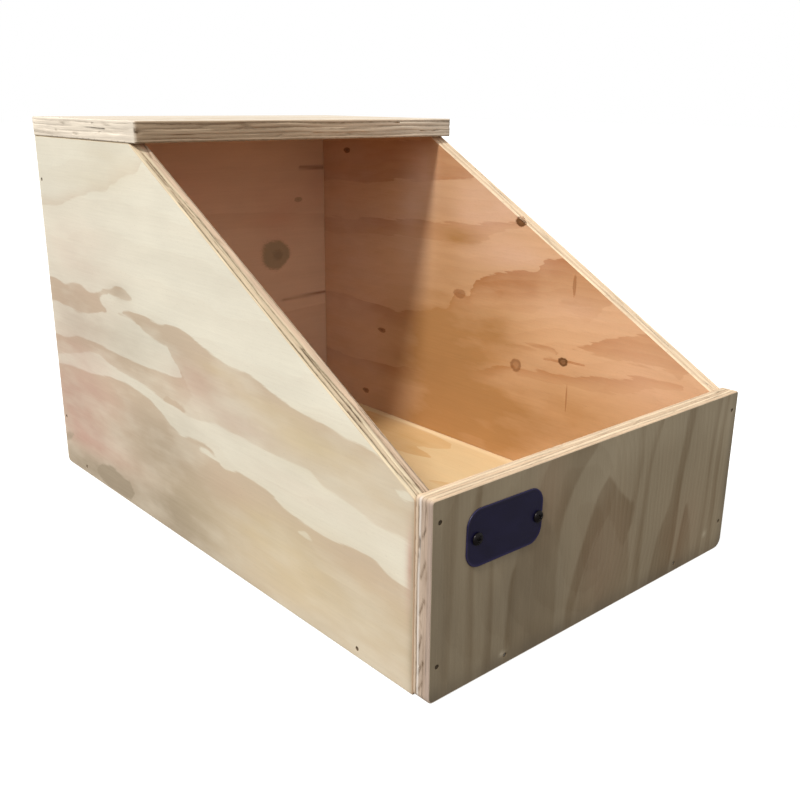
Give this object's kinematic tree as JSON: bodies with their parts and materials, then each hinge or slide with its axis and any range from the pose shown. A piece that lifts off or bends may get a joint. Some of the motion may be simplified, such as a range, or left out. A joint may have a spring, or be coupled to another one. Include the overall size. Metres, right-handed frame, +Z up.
{
  "type": "nesting box",
  "caption": "Open-fronted plywood nesting box with sloping side walls, a low front board, a short flat roof and a small blank plate, butt-jointed and nailed.",
  "frame": {"origin": "middle of the footprint of the wooden box, on the floor that it stands on", "axes": "+Z up, +Y from the low front board to the back panel, +X to the right as seen from the front"},
  "size_m": [0.307, 0.4931, 0.3065],
  "materials": {
    "side_wood": "bare sanded softwood plywood, cream with tan grain",
    "inner_wood": "bare softwood plywood, warm orange-brown with knots",
    "floor_wood": "bare softwood plywood, yellow-tan",
    "front_wood": "bare softwood plywood with cathedral grain",
    "roof_wood": "bare sanded softwood plywood, pale cream",
    "plate_enamel": "satin navy enamel on thin sheet",
    "screw_steel": "black oxide steel",
    "nail_steel": "dull bright steel wire"
  },
  "bodies": {
    "root": {"left_side": "side_wood", "right_side": "side_wood", "back_panel": "inner_wood", "floor_panel": "floor_wood", "front_board": "front_wood", "roof_board": "roof_wood", "name_plate": "plate_enamel", "plate_screw_left": "screw_steel", "plate_screw_right": "screw_steel", "nail_front_to_left_side_1": "nail_steel", "nail_front_to_left_side_2": "nail_steel", "nail_front_to_right_side_1": "nail_steel", "nail_front_to_right_side_2": "nail_steel", "nail_front_to_floor_1": "nail_steel", "nail_front_to_floor_2": "nail_steel", "nail_left_side_to_floor_1": "nail_steel", "nail_left_side_to_floor_2": "nail_steel", "nail_right_side_to_floor_1": "nail_steel", "nail_right_side_to_floor_2": "nail_steel", "nail_left_side_to_back_1": "nail_steel", "nail_left_side_to_back_2": "nail_steel", "nail_right_side_to_back_1": "nail_steel", "nail_right_side_to_back_2": "nail_steel", "nail_back_to_floor_1": "nail_steel", "nail_back_to_floor_2": "nail_steel", "nail_roof_to_left_side_1": "nail_steel", "nail_roof_to_left_side_2": "nail_steel", "nail_roof_to_right_side_1": "nail_steel", "nail_roof_to_right_side_2": "nail_steel", "nail_roof_to_back_1": "nail_steel", "nail_roof_to_back_2": "nail_steel"}
  },
  "joints": []
}
